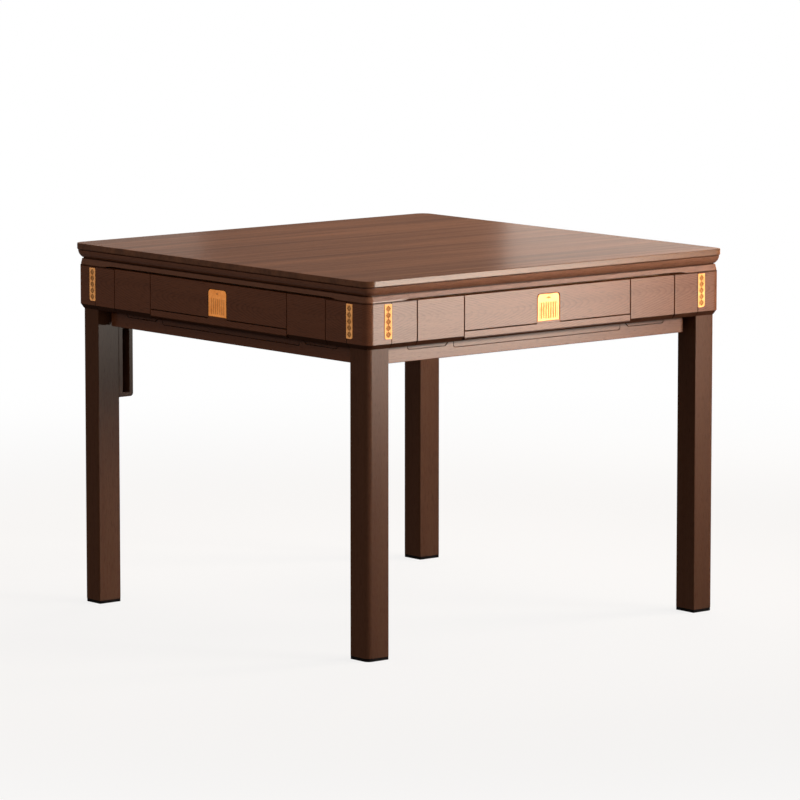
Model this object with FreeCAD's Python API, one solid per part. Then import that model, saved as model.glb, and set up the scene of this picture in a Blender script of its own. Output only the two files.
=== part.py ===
import FreeCAD, Part
import os

# Square dining and mahjong table with four drawers on every side, in millimetres.
# Origin: centre of the table on the floor. +Z up, the front faces -Y, the left side faces -X.

# Dining top, a board on a frame with an ovolo edge, that lifts off
table_height = 768.0
top_half = 487.0
top_corner_radius = 24.0
top_thickness = 13.2
top_edge_round = 1.2
cove_height = 18.2
cove_top_inset = 1.8
cove_bottom_inset = 10.3
cove_bulge = 1.6
groove_height = 1.6
groove_depth = 3.0
cleat_length = 220.0
cleat_width = 13.0
cleat_gap = 6.0
cleat_height = 10.0

# Rim round the playing bed
rim_height = 14.6
rim_inset = 7.6
rim_slope = 2.4
rim_straight = 3.4
rim_corner_radius = 17.0
rim_width = 64.4
rim_relief_height = 4.4
rim_relief_margin = 14.9
rim_relief_runout = 26.0
felt_thickness = 2.0
felt_margin = 0.3
bed_thickness = 9.0
bed_gap = 1.1

# Apron: corner blocks, end panels and drawer fronts in one plane
apron_height = 92.4
apron_inset = 6.4
panel_thickness = 18.0
bevel_height = 9.6
bevel_depth = 7.0
edge_ease = 0.6
panel_gap = 2.3
corner_width = 129.5
seam_gap = 0.5
small_front_width = 121.6
centre_front_height = 71.4
front_top_gap = 0.4
slim_front_gap = 2.3
slim_front_height = 17.3
slim_front_chamfer = 3.5

# Legs and their pads
leg_setback = 14.0
leg_width = 55.0
leg_outer_radius = 12.0
leg_inner_ease = 1.5
pad_height = 6.5
pad_inset = 0.6
bolt_radius = 5.0
bolt_length = 66.0
bolt_head_radius = 9.0
bolt_head_height = 6.5
washer_radius = 13.0
washer_thickness = 2.0

# Lower rails, set back under the apron, and the panel that closes them
rail_setback = 39.0
rail_thickness = 18.0
rail_height = 35.2
rail_end_gap = 14.0
notch_gap = 1.5
panel_board_thickness = 5.0
panel_board_recess = 5.0
panel_leg_gap = 2.0

# Dividers, braces and runners inside the body
divider_thickness = 12.0
divider_gap = 2.5
halving_gap = 0.2
brace_thickness = 12.0
brace_floor = 18.0
brace_gap = 0.4
runner_height = 9.8
runner_reach = 7.7
runner_lift = 0.3
groove_play = 0.4
box_groove_depth = 6.0
runner_end_gap = 2.0

# Drawer boxes
box_wall = 12.0
box_bottom = 8.0
box_top_gap = 3.6
box_side_overhang = 1.1
box_back_gap = 2.5
box_front_rise = 4.4
small_finger_gap = 12.0
slim_finger_gap = 5.0
centre_runner_drop = 24.3
small_box_side_gap = 1.5
small_box_inset = 1.3
small_box_bottom_drop = 10.4
small_box_inner_chamfer = 8.0
small_box_outer_chamfer = 3.0
small_box_wall = 10.0
small_runner_drop = 35.0
slim_box_bottom_drop = 15.3
slim_box_top_gap = 3.1
slim_box_bottom = 6.0
slim_box_chamfer = 3.0
slim_runner_drop = 11.0

# Brass
pull_width = 62.0
pull_height = 59.6
pull_radius = 8.0
pull_thickness = 2.4
pull_recess = 3.2
pull_gap = 0.4
flute_count = 8
flute_width = 3.4
flute_height = 0.8
flute_top_drop = 19.0
flute_margin = 5.0
stud_radius = 2.5
stud_length = 12.0
stud_spacing = 36.0
stud_drop = 14.0
strip_width = 18.6
strip_height = 69.8
strip_setback = 54.6
strip_top_drop = 3.4
strip_thickness = 2.6
strip_recess = 1.6
strip_radius = 5.0
strip_margin = 2.4
lozenge_count = 5
lozenge_gap = 0.8
lozenge_depth = 1.2

# Pocket that hangs by the back left leg
pocket_width = 36.4
pocket_depth = 30.0
pocket_drop = 155.6
pocket_wall = 9.0
pocket_back = 8.0
pocket_corner_radius = 7.0

# Screws of the pocket and of the lower rails
screw_radius = 2.0
screw_head_radius = 4.0
screw_head_height = 2.5
screw_length = 30.0
screw_gap = 0.1
rail_screw_inset = 14.0
pocket_screw_margin = 34.0

# Levels, from the top down
cover_bottom = table_height - top_thickness
rim_top = cover_bottom - cove_height
apron_top = rim_top - rim_height
apron_bottom = apron_top - apron_height
rail_bottom = apron_bottom - rail_height
bed_bottom = apron_top - bed_thickness
front_top = apron_top - front_top_gap
centre_front_bottom = front_top - centre_front_height
slim_front_top = centre_front_bottom - slim_front_gap
panel_top = rail_bottom + panel_board_recess + panel_board_thickness
brace_floor_top = apron_bottom + brace_floor

# Distances from the centre, from the edge in
rim_inner_half = top_half - rim_inset - rim_width
cleat_outer = rim_inner_half - cleat_gap
cleat_inner = cleat_outer - cleat_width
apron_face = top_half - apron_inset
apron_back = apron_face - panel_thickness
leg_face = top_half - leg_setback
leg_inner = leg_face - leg_width
leg_centre = leg_face - leg_width / 2
rail_face = top_half - rail_setback
rail_back = rail_face - rail_thickness
rail_end = leg_inner - rail_end_gap
strip_centre = apron_face - strip_setback
block_start = strip_centre - strip_width / 2
end_panel_outer = block_start - seam_gap
end_panel_inner = apron_face - corner_width
rim_relief_half = end_panel_inner + rim_relief_margin
brace_start = end_panel_inner + brace_gap
small_outer = end_panel_inner - panel_gap
small_inner = small_outer - small_front_width
centre_half = small_inner - panel_gap
box_half = centre_half + box_side_overhang
divider_inner = box_half + divider_gap
divider_outer = divider_inner + divider_thickness
divider_end = apron_back - bed_gap
box_back = divider_outer + box_back_gap
small_box_inner = divider_outer + small_box_side_gap
small_box_outer = small_outer - small_box_inset
small_box_back = brace_start + small_box_side_gap
sides = {"front": 0, "right": 90, "back": 180, "left": 270}
hands = {"a": -1, "b": 1}
tiny = 0.01


def box(x0, x1, y0, y1, z0, z1):
    """Block between two corners."""
    return Part.makeBox(x1 - x0, y1 - y0, z1 - z0, FreeCAD.Vector(x0, y0, z0))


def mirrored_x(shape):
    """The same piece on the other half of a side."""
    return shape.mirror(FreeCAD.Vector(0, 0, 0), FreeCAD.Vector(1, 0, 0))


def turned(shape, degrees):
    """The same piece on another side of the table."""
    copy = shape.copy()
    copy.rotate(FreeCAD.Vector(0, 0, 0), FreeCAD.Vector(0, 0, 1), degrees)
    return copy


def fused(shapes):
    """One solid from pieces that share faces."""
    return shapes[0].fuse(shapes[1:]).removeSplitter()


def section(start, steps):
    """Face in the plane y = 0; a step is the end of a line, or the middle and the end of an arc."""
    at = FreeCAD.Vector(start[0], 0, start[1])
    edges = []
    for step in steps:
        points = [FreeCAD.Vector(x, 0, z) for x, z in step]
        if len(points) == 2:
            edges.append(Part.Arc(at, points[0], points[1]).toShape())
        else:
            edges.append(Part.LineSegment(at, points[0]).toShape())
        at = points[-1]
    return Part.Face(Part.Wire(edges))


def quarter(face, core):
    """Corner of a rounded square whose section starts at x = core."""
    axis_point = FreeCAD.Vector(core, 0, 0)
    corner = face.revolve(axis_point, FreeCAD.Vector(0, 0, 1), 90)
    corner.translate(FreeCAD.Vector(0, core, 0))
    return corner


def straight(face, y0, y1):
    """Length of a section between two distances along Y, on the +X side."""
    run = face.extrude(FreeCAD.Vector(0, y1 - y0, 0))
    run.translate(FreeCAD.Vector(0, y0, 0))
    return run


def rounded_slab(face, core, z0, z1):
    """Square solid with rounded corners whose four edges all follow one section."""
    pieces = [box(-core, core, -core, core, z0, z1)]
    for degrees in sides.values():
        pieces.append(turned(straight(face, -core, core), degrees))
        pieces.append(turned(quarter(face, core), degrees))
    return fused(pieces)


def rounded_plate(width, z0, z1, y0, y1, radius):
    """Upright plate, centred on x = 0, with its two top corners rounded."""
    half = width / 2
    turn = radius * 0.5 ** 0.5
    steps = [
        [(half, z0)],
        [(half, z1 - radius)],
        [(half - radius + turn, z1 - radius + turn), (half - radius, z1)],
        [(-half + radius, z1)],
        [(-half + radius - turn, z1 - radius + turn), (-half, z1 - radius)],
        [(-half, z0)],
    ]
    plate = section((-half, z0), steps).extrude(FreeCAD.Vector(0, y1 - y0, 0))
    plate.translate(FreeCAD.Vector(0, y0, 0))
    return plate


def eased(shape, radius, keep):
    """Rounds the edges that a test picks."""
    edges = [edge for edge in shape.Edges if keep(edge.BoundBox)]
    return shape.makeFillet(radius, edges)


def outer_edges(level):
    """Test for edges that lie in the plane y = -level."""
    return lambda b: abs(b.YMin + level) < tiny and abs(b.YMax + level) < tiny


def cover_board():
    """Top board with a rounded upper edge."""
    core = top_half - top_corner_radius
    r = top_edge_round
    turn = r - r * 0.5 ** 0.5
    steps = [
        [(top_half - r, cover_bottom)],
        [(top_half, cover_bottom + r)],
        [(top_half, table_height - r)],
        [(top_half - turn, table_height - turn), (top_half - r, table_height)],
        [(core, table_height)],
        [(core, cover_bottom)],
    ]
    return rounded_slab(section((core, cover_bottom), steps), core, cover_bottom, table_height)


def cove_frame():
    """Frame under the board: a groove, an ovolo that falls inwards, and a second groove."""
    core = top_half - top_corner_radius
    upper = top_half - cove_top_inset
    lower = top_half - cove_bottom_inset
    z_high = cover_bottom - groove_height
    z_low = rim_top + groove_height
    middle = ((upper + lower) / 2 + cove_bulge, (z_high + z_low) / 2 - cove_bulge / 2)
    steps = [
        [(lower - groove_depth, rim_top)],
        [(lower - groove_depth, z_low)],
        [(lower, z_low)],
        [middle, (upper, z_high)],
        [(upper - groove_depth, z_high)],
        [(upper - groove_depth, cover_bottom)],
        [(core, cover_bottom)],
        [(core, rim_top)],
    ]
    slab = rounded_slab(section((core, rim_top), steps), core, rim_top, cover_bottom)
    return slab.cut(box(-cleat_inner, cleat_inner, -cleat_inner, cleat_inner, rim_top - 1, cover_bottom + 1))


def locating_cleats():
    """Four bars under the cove frame that drop inside the rim."""
    half = cleat_length / 2
    bar = box(-half, half, -cleat_outer, -cleat_inner, rim_top - cleat_height, rim_top)
    bar = bar.makeChamfer(2.0, [e for e in bar.Edges if e.BoundBox.ZMax < rim_top - tiny])
    return Part.makeCompound([turned(bar, degrees) for degrees in sides.values()])


def rim_frame():
    """Rim round the playing bed, cut away over the drawer fronts."""
    outer = top_half - rim_inset
    core = outer - rim_corner_radius
    slope_top = rim_top - groove_height
    steps = [
        [(outer, apron_top)],
        [(outer, apron_top + rim_straight)],
        [(outer - rim_slope, slope_top)],
        [(outer - rim_slope - groove_depth, slope_top)],
        [(outer - rim_slope - groove_depth, rim_top)],
        [(core, rim_top)],
        [(core, apron_top)],
    ]
    rim = rounded_slab(section((core, apron_top), steps), core, apron_top, rim_top)
    half = rim_inner_half
    rim = rim.cut(box(-half, half, -half, half, apron_top - 1, rim_top + 1))
    foot = rim_relief_half + rim_relief_runout
    steps = [
        [(foot, apron_top)],
        [(rim_relief_half, apron_top + rim_relief_height)],
        [(-rim_relief_half, apron_top + rim_relief_height)],
        [(-foot, apron_top)],
    ]
    relief = section((-foot, apron_top), steps).extrude(FreeCAD.Vector(0, panel_thickness + apron_inset, 0))
    relief.translate(FreeCAD.Vector(0, -apron_back - panel_thickness - apron_inset, 0))
    return rim.cut([turned(relief, degrees) for degrees in sides.values()])


def bed_board():
    """Plywood bed that the rim is glued to."""
    return box(-divider_end, divider_end, -divider_end, divider_end, bed_bottom, apron_top)


def playing_felt():
    """Felt inside the rim."""
    half = rim_inner_half - felt_margin
    return box(-half, half, -half, half, apron_top, apron_top + felt_thickness)


def apron_section():
    """Section of the apron on the +X side, with its lower edge cut back."""
    steps = [
        [(apron_face - bevel_depth, apron_bottom)],
        [(apron_face, apron_bottom + bevel_height)],
        [(apron_face, apron_top)],
        [(apron_back, apron_top)],
        [(apron_back, apron_bottom)],
    ]
    return section((apron_back, apron_bottom), steps)


def strip_blank(depth, y0):
    """Upright strip on the front, with one lower corner rounded."""
    x0 = strip_centre - strip_width / 2
    z1 = apron_top - strip_top_drop
    z0 = z1 - strip_height
    blank = box(x0, x0 + strip_width, y0, y0 + depth, z0, z1)
    corner = [e for e in blank.Edges if e.BoundBox.ZMax < z0 + tiny and e.BoundBox.XMin > strip_centre]
    lower = [e for e in corner if e.BoundBox.YLength > tiny]
    return blank.makeFillet(strip_radius, lower)


def corner_strip():
    """Brass strip, right half of the front side, with a chain of lozenges sunk into its face."""
    y0 = -apron_face + strip_recess - strip_thickness
    pitch = (strip_height - 2 * strip_margin) / lozenge_count
    top = apron_top - strip_top_drop - strip_margin
    levels = [top - pitch * (i + 0.5) for i in range(lozenge_count)]
    return strip_blank(strip_thickness, y0).cut([lozenge(z, pitch - lozenge_gap, y0) for z in levels])


def lozenge(z, height, y0):
    """Cutter for one lozenge of a brass strip, with the strip's margin left at either side."""
    half = strip_width / 2 - strip_margin
    x, rise = strip_centre, height / 2
    steps = [[(x, z - rise)], [(x + half, z)], [(x, z + rise)], [(x - half, z)]]
    cutter = section((x - half, z), steps).extrude(FreeCAD.Vector(0, lozenge_depth + 1, 0))
    cutter.translate(FreeCAD.Vector(0, y0 - 1, 0))
    return cutter


def corner_strips():
    """All eight strips."""
    pair = [corner_strip(), mirrored_x(corner_strip())]
    return Part.makeCompound([turned(strip, degrees) for degrees in sides.values() for strip in pair])


def corner_block():
    """Rounded corner of the apron, at the back right corner, with the beds of its two strips."""
    face = apron_section()
    arm = straight(face, block_start, apron_back)
    other = arm.mirror(FreeCAD.Vector(0, 0, 0), FreeCAD.Vector(1, -1, 0))
    block = eased(fused([arm, quarter(face, apron_back), other]), edge_ease, is_block_end)
    bed = strip_blank(strip_recess + 1, -apron_face - 1)
    return block.cut([turned(bed, 90), turned(mirrored_x(bed), 180)])


def is_block_end(b):
    """True for the upright outer edge at either end of a corner block."""
    upright = b.ZLength > apron_height - bevel_height - tiny and b.XLength < tiny and b.YLength < tiny
    at_x = abs(b.XMax - apron_face) < tiny and abs(b.YMin - block_start) < tiny
    at_y = abs(b.YMax - apron_face) < tiny and abs(b.XMin - block_start) < tiny
    return upright and (at_x or at_y)


def end_panel():
    """Flat panel between a small drawer and a corner block, right half of the front side."""
    panel = turned(straight(apron_section(), end_panel_inner, end_panel_outer), -90)
    on_face = outer_edges(apron_face)
    return eased(panel, edge_ease, lambda b: on_face(b) and b.ZLength > tiny)


def apron_end_panels():
    """All eight end panels."""
    pair = [end_panel(), mirrored_x(end_panel())]
    return Part.makeCompound([turned(panel, degrees) for degrees in sides.values() for panel in pair])


def corner_brace():
    """Two walls and a floor behind a corner of the apron; the leg is bolted up to the floor."""
    inner = brace_start + brace_thickness
    floor = box(brace_start, apron_back, brace_start, apron_back, apron_bottom, brace_floor_top)
    wall = box(brace_start, inner, brace_start, apron_back, apron_bottom, bed_bottom)
    other = box(brace_start, apron_back, brace_start, inner, apron_bottom, bed_bottom)
    hole = upright_rod(bolt_radius + screw_gap, apron_bottom - 1, brace_floor_top + 1, leg_centre, leg_centre)
    holes = [hole]
    for x, y in rail_screw_places():
        holes.append(upright_rod(screw_radius + screw_gap, apron_bottom - 1, screw_tip(), x, y))
    return fused([floor, wall, other]).cut(holes)


def upright_rod(radius, z0, z1, x, y):
    """Vertical cylinder."""
    return Part.makeCylinder(radius, z1 - z0, FreeCAD.Vector(x, y, z0))


def rail_screw_places():
    """Screw places at the back right corner, one in each of the two rails that end there."""
    along = rail_end - rail_screw_inset
    across = (rail_face + rail_back) / 2
    return [(along, across), (across, along)]


def screw_tip():
    """Height of the upper end of a rail screw."""
    return rail_bottom + screw_counterbore() + screw_head_height + screw_length


def screw_counterbore():
    """Depth that a rail screw's head is sunk into the rail."""
    return rail_height + brace_floor / 2 - screw_length - screw_head_height


def leg():
    """Leg at the back right corner: one large round outside, small ones elsewhere, a bore in its top."""
    post = box(leg_inner, leg_face, leg_inner, leg_face, pad_height, apron_bottom)
    post = eased(post, leg_outer_radius, is_round_leg_edge)
    post = eased(post, leg_inner_ease, is_sharp_leg_edge)
    bore = upright_rod(bolt_radius + screw_gap, bolt_bottom() - 1, apron_bottom + 1, leg_centre, leg_centre)
    return post.cut(bore)


def is_round_leg_edge(b):
    """True for the upright edge at a leg's outer corner."""
    return b.XMin > leg_face - tiny and b.YMin > leg_face - tiny and b.ZLength > tiny


def is_sharp_leg_edge(b):
    """True for the three upright edges of a leg that aren't its round outer corner."""
    at_x = abs(b.XMin - leg_inner) < tiny or abs(b.XMax - leg_face) < tiny
    at_y = abs(b.YMin - leg_inner) < tiny or abs(b.YMax - leg_face) < tiny
    inner = abs(b.XMin - leg_inner) < tiny or abs(b.YMin - leg_inner) < tiny
    return b.XLength < tiny and b.YLength < tiny and at_x and at_y and inner


def bolt_bottom():
    """Height of the lower end of a leg bolt."""
    return brace_floor_top + washer_thickness - bolt_length


def leg_bolt():
    """Hexagon bolt with its washer, through the brace floor into the leg."""
    seat = brace_floor_top + washer_thickness
    shank = upright_rod(bolt_radius, bolt_bottom(), seat, leg_centre, leg_centre)
    washer = upright_rod(washer_radius, brace_floor_top, seat, leg_centre, leg_centre)
    centre = FreeCAD.Vector(leg_centre, leg_centre, seat)
    spoke = FreeCAD.Vector(bolt_head_radius, 0, 0)
    turn = FreeCAD.Rotation(FreeCAD.Vector(0, 0, 1), 60)
    corners = []
    for _ in range(6):
        corners.append(centre + spoke)
        spoke = turn.multVec(spoke)
    head = Part.Face(Part.makePolygon(corners + corners[:1])).extrude(FreeCAD.Vector(0, 0, bolt_head_height))
    return fused([shank, washer, head])


def foot_pad():
    """Pad under the leg at the back right corner."""
    low = leg_inner + pad_inset
    high = leg_face - pad_inset
    pad = box(low, high, low, high, 0, pad_height)
    outside = [e for e in pad.Edges if e.BoundBox.ZLength > 1 and e.BoundBox.XMin > low + tiny
               and e.BoundBox.YMin > low + tiny]
    return pad.makeFillet(leg_outer_radius - pad_inset, outside)


def hanging_outline(x0, x1, z0, near, far):
    """Outline of what hangs below the apron, down to z0, with a chamfer at each lower corner."""
    steps = [
        [(x1 - far, z0)],
        [(x1, z0 + far)],
        [(x1, apron_bottom + 1)],
        [(x0, apron_bottom + 1)],
        [(x0, z0 + near)],
        [(x0 + near, z0)],
    ]
    return section((x0 + near, z0), steps)


def small_outline(gap):
    """Lower outline of a small drawer's box, grown by a gap."""
    z0 = apron_bottom - small_box_bottom_drop - gap
    x0, x1 = small_box_inner - gap, small_box_outer + gap
    return hanging_outline(x0, x1, z0, small_box_inner_chamfer, small_box_outer_chamfer)


def slim_outline(gap):
    """Lower outline of a slim drawer's box, grown by a gap."""
    half = box_half + gap
    return hanging_outline(-half, half, slim_box_floor() - gap, slim_box_chamfer, slim_box_chamfer)


def lower_rail():
    """Front rail, notched for the three drawer boxes that pass over it, drilled for its two screws."""
    rail = box(-rail_end, rail_end, -rail_face, -rail_back, rail_bottom, apron_bottom)
    notches = [slim_outline(notch_gap), small_outline(notch_gap), mirrored_x(small_outline(notch_gap))]
    cuts = [notch.extrude(FreeCAD.Vector(0, rail_thickness + 2, 0)) for notch in notches]
    for cut in cuts:
        cut.translate(FreeCAD.Vector(0, -rail_face - 1, 0))
    x, y = rail_screw_places()[0]
    head_top = rail_bottom + screw_counterbore() + screw_head_height
    for at in (x, -x):
        cuts.append(upright_rod(screw_radius + screw_gap, rail_bottom - 1, apron_bottom + 1, at, -y))
        cuts.append(upright_rod(screw_head_radius + screw_gap, rail_bottom - 1, head_top, at, -y))
    rail = rail.cut(cuts)
    lower = [e for e in rail.Edges if e.BoundBox.XLength > rail_end and e.BoundBox.ZMax < rail_bottom + tiny]
    return rail.makeFillet(edge_ease * 2, lower)


def bottom_panel():
    """Thin panel between the rails, cut out round the legs."""
    z0 = rail_bottom + panel_board_recess
    plate = box(-rail_back, rail_back, -rail_back, rail_back, z0, panel_top)
    near = leg_inner - panel_leg_gap
    notch = box(near, rail_back + 1, near, rail_back + 1, z0 - 1, panel_top + 1)
    return plate.cut([turned(notch, degrees) for degrees in sides.values()])


def divider_board(keeps_lower):
    """Board along Y on the +X side, halved where it crosses the two boards along X."""
    low = box(divider_inner, divider_outer, -rail_back, rail_back, panel_top, apron_bottom)
    high = box(divider_inner, divider_outer, -divider_end, divider_end, apron_bottom, bed_bottom)
    board = fused([low, high])
    middle = (panel_top + bed_bottom) / 2
    z0, z1 = (middle, bed_bottom + 1) if keeps_lower else (panel_top - 1, middle)
    y0 = divider_inner - halving_gap
    y1 = divider_outer + halving_gap
    slot = box(divider_inner - 1, divider_outer + 1, y0, y1, z0, z1)
    other = box(divider_inner - 1, divider_outer + 1, -y1, -y0, z0, z1)
    return board.cut([slot, other])


def divider_boards():
    """Two boards along Y and two along X, halved into each other."""
    boards = [turned(divider_board(degrees % 180 == 0), degrees) for degrees in sides.values()]
    return Part.makeCompound(boards)


def runner_levels():
    """Lower edge of the runners of the centre, slim and small drawers."""
    centre = bed_bottom - centre_runner_drop - runner_height
    slim = slim_front_top - slim_runner_drop - runner_height
    small = bed_bottom - small_runner_drop - runner_height
    return centre, slim, small


def drawer_runners():
    """Hardwood runners on the dividers and on the braces, for all four sides."""
    centre, slim, small = runner_levels()
    front = -apron_back + box_wall / 2
    back = -box_back - box_wall
    small_back = -small_box_back - runner_end_gap
    x0 = divider_inner - runner_reach
    outer = divider_outer + small_box_side_gap + box_groove_depth - groove_play
    far = small_box_outer - box_groove_depth + groove_play
    pieces = [
        box(x0, divider_inner, front, back, centre, centre + runner_height),
        box(x0, divider_inner, -rail_back + 1, back, slim, slim + runner_height),
        box(divider_outer, outer, front, small_back, small, small + runner_height),
        box(far, brace_start, front, small_back, small, small + runner_height),
    ]
    pieces += [mirrored_x(piece) for piece in pieces]
    return Part.makeCompound([turned(piece, degrees) for degrees in sides.values() for piece in pieces])


def box_groove(x0, x1, y_front, y_back, level):
    """Cutter for the groove that runs on a runner."""
    return box(x0, x1, y_front, y_back, level - groove_play, level + runner_height + runner_lift)


def drawer_front():
    """Front of a centre drawer, with the bed of its pull plate and two stud holes."""
    front = box(-centre_half, centre_half, -apron_face, -apron_back, centre_front_bottom, front_top)
    front = eased(front, edge_ease, outer_edges(apron_face))
    bed_top = centre_front_bottom + pull_height + pull_gap
    bed = rounded_plate(pull_width + 2 * pull_gap, centre_front_bottom - 1, bed_top,
                        -apron_face - 1, -apron_face + pull_recess, pull_radius + pull_gap)
    holes = [stud(x, stud_radius + screw_gap, stud_length + 1) for x in stud_places()]
    return front.cut([bed] + holes)


def stud_places():
    """Sideways places of the two studs of a pull plate."""
    return (-stud_spacing / 2, stud_spacing / 2)


def stud(x, radius, length):
    """Stud behind a pull plate."""
    start = FreeCAD.Vector(x, -apron_face + pull_recess, centre_front_bottom + pull_height - stud_drop)
    return Part.makeCylinder(radius, length, start, FreeCAD.Vector(0, 1, 0))


def pull_plate():
    """Brass plate with upright flutes and two studs."""
    y1 = -apron_face + pull_recess
    y0 = y1 - pull_thickness
    top = centre_front_bottom + pull_height
    plate = rounded_plate(pull_width, centre_front_bottom, top, y0, y1, pull_radius)
    pitch = (pull_width - 2 * flute_margin) / flute_count
    z0 = centre_front_bottom + flute_margin
    z1 = top - flute_top_drop
    parts = [plate]
    for i in range(flute_count):
        x = -pull_width / 2 + flute_margin + pitch * (i + 0.5)
        parts.append(box(x - flute_width / 2, x + flute_width / 2, y0 - flute_height, y0, z0, z1))
    parts += [stud(x, stud_radius, stud_length) for x in stud_places()]
    return fused(parts)


def drawer_box():
    """Box of a centre drawer, grooved on both sides."""
    z0 = centre_front_bottom + box_front_rise
    z1 = bed_bottom - box_top_gap
    outer = box(-box_half, box_half, -apron_back, -box_back, z0, z1)
    inner = box(-box_half + box_wall, box_half - box_wall, -apron_back + box_wall, -box_back - box_wall,
                z0 + box_bottom, z1 + 1)
    y_front = -apron_back + box_wall / 2 - runner_end_gap
    groove = box_groove(box_half - box_groove_depth, box_half + 1, y_front, -box_back + 1, runner_levels()[0])
    return outer.cut([inner, groove, mirrored_x(groove)])


def slim_box_floor():
    """Underside of a slim drawer."""
    return apron_bottom - slim_box_bottom_drop


def slim_drawer():
    """Slim drawer under a centre drawer: a lip in the apron plane and a shallow box flush with the rail."""
    z0 = slim_box_floor()
    z1 = slim_front_top - slim_box_top_gap
    lip_z = slim_front_top - slim_front_height
    lip = box(-centre_half, centre_half, -apron_face, -apron_back, lip_z, slim_front_top)
    on_face = outer_edges(apron_face)
    low = [e for e in lip.Edges if on_face(e.BoundBox) and e.BoundBox.ZMax < lip_z + tiny]
    lip = lip.makeChamfer(slim_front_chamfer, low)
    neck = box(-centre_half, centre_half, -apron_back, -rail_face, lip_z + slim_finger_gap, z1)
    body = box(-box_half, box_half, -rail_face, -box_back, z0, z1)
    low = [e for e in body.Edges if e.BoundBox.YLength > tiny and e.BoundBox.ZMax < z0 + tiny
           and e.BoundBox.XLength < tiny]
    body = body.makeChamfer(slim_box_chamfer, low)
    half = box_half - box_wall
    inner = box(-half, half, -rail_face + box_wall, -box_back - box_wall, z0 + slim_box_bottom, z1 + 1)
    y_front = -rail_back + 1 - runner_end_gap
    groove = box_groove(box_half - box_groove_depth, box_half + 1, y_front, -box_back + 1, runner_levels()[1])
    return fused([lip, neck, body]).cut([inner, groove, mirrored_x(groove)])


def small_front():
    """Front of the small drawer on the right half of the front side."""
    panel = turned(straight(apron_section(), small_inner, small_outer), -90)
    below = box(small_inner - 1, small_outer + 1, -apron_face - 1, 0, apron_bottom - 1, front_top)
    panel = panel.common(below)
    return eased(panel, edge_ease, outer_edges(apron_face))


def small_box():
    """Box of that small drawer: its lower corners are cut off, its lower front stands flush with the rail."""
    z1 = bed_bottom - box_top_gap
    x0, x1 = small_box_inner, small_box_outer
    lower = small_outline(0).extrude(FreeCAD.Vector(0, rail_face - small_box_back, 0))
    lower.translate(FreeCAD.Vector(0, -rail_face, 0))
    upper = box(x0, x1, -rail_face, -small_box_back, apron_bottom + 1, z1)
    neck = box(x0, x1, -apron_back, -rail_face, apron_bottom + small_finger_gap, z1)
    floor = apron_bottom - small_box_bottom_drop + box_bottom
    inner = box(x0 + small_box_wall, x1 - small_box_wall, -rail_face + small_box_wall,
                -small_box_back - small_box_wall, floor, z1 + 1)
    small = runner_levels()[2]
    y_front = -apron_back + box_wall / 2 - runner_end_gap
    near = box_groove(x0 - 1, x0 + box_groove_depth, y_front, -small_box_back + 1, small)
    far = box_groove(x1 - box_groove_depth, x1 + 1, y_front, -small_box_back + 1, small)
    return fused([lower, upper, neck]).cut([inner, near, far])


def side_pocket():
    """Narrow open pocket under the back rail, screwed to the inner face of the back left leg."""
    x0, x1 = -leg_inner, -leg_inner + pocket_width
    y0, y1 = leg_inner, leg_inner + pocket_depth
    z0, z1 = rail_bottom - pocket_drop, rail_bottom
    shell = box(x0, x1, y0, y1, z0, z1)
    corner = [e for e in shell.Edges if e.BoundBox.YLength > 1 and e.BoundBox.XMin > x0 + tiny
              and e.BoundBox.ZMax < z0 + tiny]
    shell = shell.makeFillet(pocket_corner_radius, corner)
    inner = box(x0 + pocket_wall, x1 - pocket_wall, y0 - 1, y1 - pocket_back,
                z0 + pocket_wall, z1 - pocket_wall)
    holes = [pocket_hole(z, screw_radius + screw_gap, screw_length) for z in pocket_screw_levels()]
    return shell.cut([inner] + holes)


def pocket_screw_levels():
    """Heights of the two pocket screws."""
    return (rail_bottom - pocket_drop + pocket_screw_margin, rail_bottom - pocket_screw_margin)


def pocket_hole(z, radius, length):
    """Level cylinder through the pocket's wall into the leg."""
    start = FreeCAD.Vector(-leg_inner + pocket_wall, leg_inner + pocket_depth / 2 - pocket_back / 2, z)
    return Part.makeCylinder(radius, length, start, FreeCAD.Vector(-1, 0, 0))


def frame_screws():
    """Eight screws up through the rails into the braces, and two from the pocket into the leg."""
    head_z = rail_bottom + screw_counterbore()
    screws = []
    for degrees in sides.values():
        for x, y in rail_screw_places():
            head = upright_rod(screw_head_radius, head_z, head_z + screw_head_height, x, y)
            shank = upright_rod(screw_radius, head_z + screw_head_height, screw_tip(), x, y)
            screws.append(turned(fused([head, shank]), degrees))
    for z in pocket_screw_levels():
        shank = pocket_hole(z, screw_radius, screw_length)
        head = pocket_hole(z, screw_head_radius, screw_head_height)
        head.translate(FreeCAD.Vector(screw_head_height, 0, 0))
        screws.append(fused([shank, head]))
    return Part.makeCompound(screws)


def save(name, shape):
    """Writes one node and prints its size."""
    shape.exportStep("parts/" + name + ".step")
    b = shape.BoundBox
    state = "ok" if shape.isValid() else "INVALID"
    size = f"{b.XLength:7.1f} {b.YLength:7.1f} {b.ZLength:6.1f}"
    print(f"{name:26s} solids {len(shape.Solids):2d} {state} {size}")


def all_corners(shape):
    """Copies of a back right piece at the four corners, as (name, piece)."""
    names = {"back_right": 0, "back_left": 90, "front_left": 180, "front_right": 270}
    return [(name, turned(shape, degrees)) for name, degrees in names.items()]


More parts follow.
